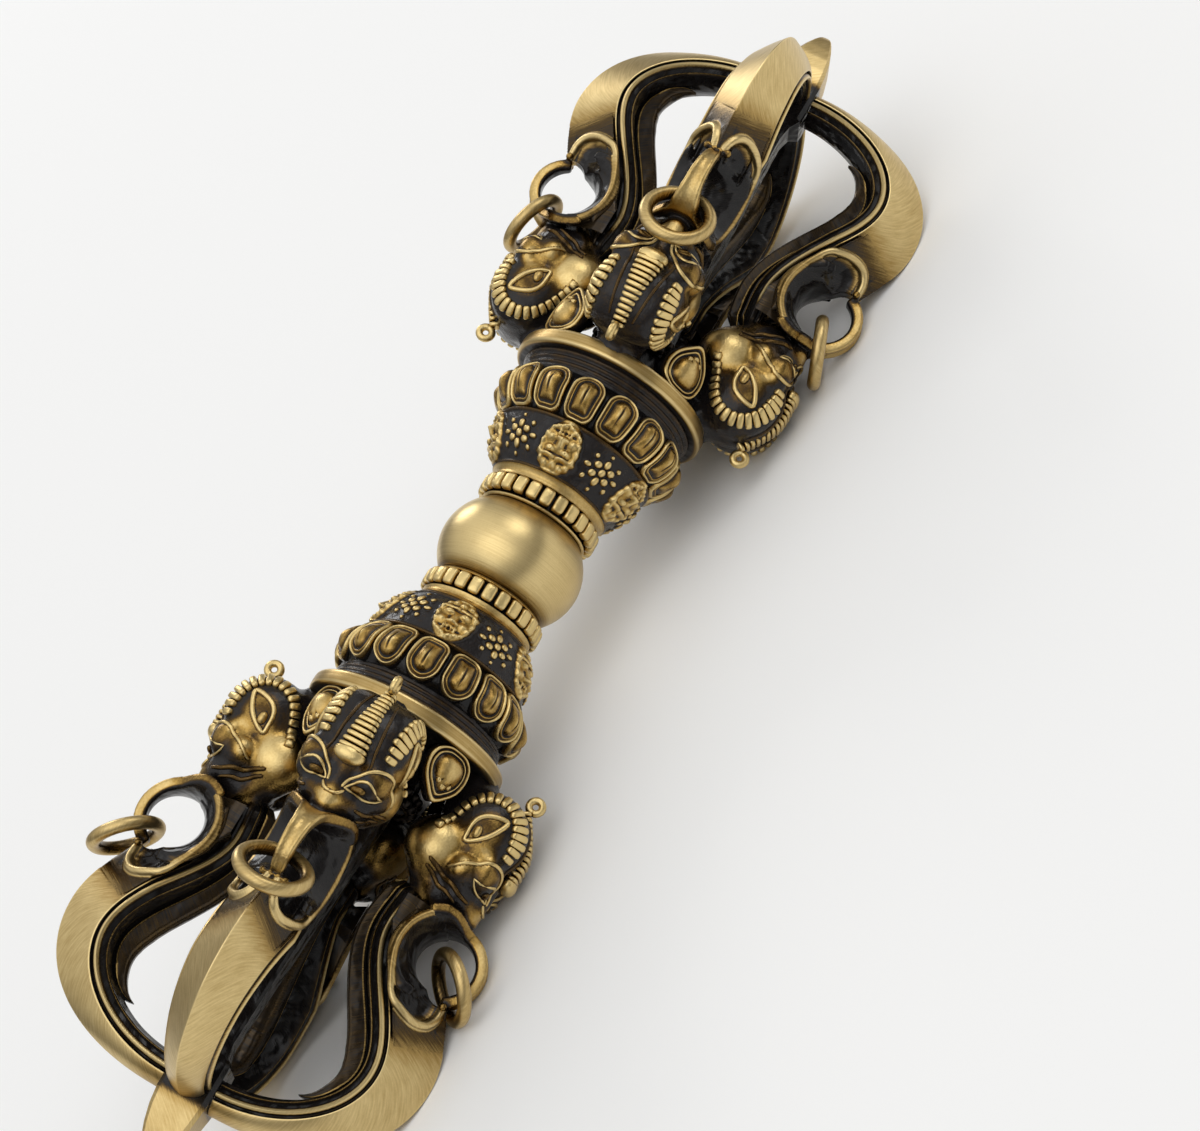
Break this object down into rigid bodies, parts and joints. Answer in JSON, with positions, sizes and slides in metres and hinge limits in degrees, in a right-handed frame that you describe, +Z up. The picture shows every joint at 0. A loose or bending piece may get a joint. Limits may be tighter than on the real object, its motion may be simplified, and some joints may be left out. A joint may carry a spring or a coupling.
{
  "type": "vajra sceptre",
  "caption": "Ritual sceptre with a ball grip, lotus collars, and at each end curved blades that rise from trunked heads and close on a spear, with loose rings.",
  "frame": {"origin": "on the table, below the middle of the grip ball", "axes": "+X along the sceptre, +Z up as it lies on two blades at each end"},
  "size_m": [0.15, 0.036, 0.0332],
  "materials": {
    "brushed_brass": "brushed, lightly tarnished",
    "aged_brass": "cast, polished on the high spots",
    "dark_patina": "dark brown patina"
  },
  "bodies": {
    "sceptre": {"grip_ball": "brushed_brass", "tie_rod": "dark_patina", "left_beaded_collar": "aged_brass", "left_mask_collar": "dark_patina", "left_lotus_cup": "aged_brass", "left_rim_plate": "brushed_brass", "left_corner_leaves": "aged_brass", "left_spear": "brushed_brass", "left_bead_string": "dark_patina", "left_dowel_pins": "aged_brass", "left_upper_front_makara": "aged_brass", "left_upper_front_blade": "brushed_brass", "left_lower_front_makara": "aged_brass", "left_lower_front_blade": "brushed_brass", "left_lower_back_makara": "aged_brass", "left_lower_back_blade": "brushed_brass", "left_upper_back_makara": "aged_brass", "left_upper_back_blade": "brushed_brass", "right_beaded_collar": "aged_brass", "right_mask_collar": "dark_patina", "right_lotus_cup": "aged_brass", "right_rim_plate": "brushed_brass", "right_corner_leaves": "aged_brass", "right_spear": "brushed_brass", "right_bead_string": "dark_patina", "right_dowel_pins": "aged_brass", "right_upper_front_makara": "aged_brass", "right_upper_front_blade": "brushed_brass", "right_lower_front_makara": "aged_brass", "right_lower_front_blade": "brushed_brass", "right_lower_back_makara": "aged_brass", "right_lower_back_blade": "brushed_brass", "right_upper_back_makara": "aged_brass", "right_upper_back_blade": "brushed_brass"},
    "left_upper_front_ring": {"left_upper_front_ring": "brushed_brass"},
    "left_lower_front_ring": {"left_lower_front_ring": "brushed_brass"},
    "left_lower_back_ring": {"left_lower_back_ring": "brushed_brass"},
    "left_upper_back_ring": {"left_upper_back_ring": "brushed_brass"},
    "right_upper_front_ring": {"right_upper_front_ring": "brushed_brass"},
    "right_lower_front_ring": {"right_lower_front_ring": "brushed_brass"},
    "right_lower_back_ring": {"right_lower_back_ring": "brushed_brass"},
    "right_upper_back_ring": {"right_upper_back_ring": "brushed_brass"}
  },
  "joints": [
    {"name": "left_upper_front_ring_swing", "type": "hinge", "parent": "sceptre", "child": "left_upper_front_ring", "pos_m": [-0.0425, -0.01145, 0.02669], "axis": [0, -0.7071, -0.7071], "range_deg": [-114, 0]},
    {"name": "left_lower_front_ring_swing", "type": "hinge", "parent": "sceptre", "child": "left_lower_front_ring", "pos_m": [-0.0425, -0.01145, 0.00378], "axis": [0, 0.7071, -0.7071], "range_deg": [-114, 0]},
    {"name": "left_lower_back_ring_swing", "type": "hinge", "parent": "sceptre", "child": "left_lower_back_ring", "pos_m": [-0.0425, 0.01145, 0.00378], "axis": [0, 0.7071, 0.7071], "range_deg": [-114, 0]},
    {"name": "left_upper_back_ring_swing", "type": "hinge", "parent": "sceptre", "child": "left_upper_back_ring", "pos_m": [-0.0425, 0.01145, 0.02669], "axis": [0, -0.7071, 0.7071], "range_deg": [-114, 0]},
    {"name": "right_upper_front_ring_swing", "type": "hinge", "parent": "sceptre", "child": "right_upper_front_ring", "pos_m": [0.0425, -0.01145, 0.02669], "axis": [0, 0.7071, 0.7071], "range_deg": [0, 114]},
    {"name": "right_lower_front_ring_swing", "type": "hinge", "parent": "sceptre", "child": "right_lower_front_ring", "pos_m": [0.0425, -0.01145, 0.00378], "axis": [0, -0.7071, 0.7071], "range_deg": [0, 114]},
    {"name": "right_lower_back_ring_swing", "type": "hinge", "parent": "sceptre", "child": "right_lower_back_ring", "pos_m": [0.0425, 0.01145, 0.00378], "axis": [0, -0.7071, -0.7071], "range_deg": [0, 114]},
    {"name": "right_upper_back_ring_swing", "type": "hinge", "parent": "sceptre", "child": "right_upper_back_ring", "pos_m": [0.0425, 0.01145, 0.02669], "axis": [0, 0.7071, -0.7071], "range_deg": [0, 114]}
  ]
}
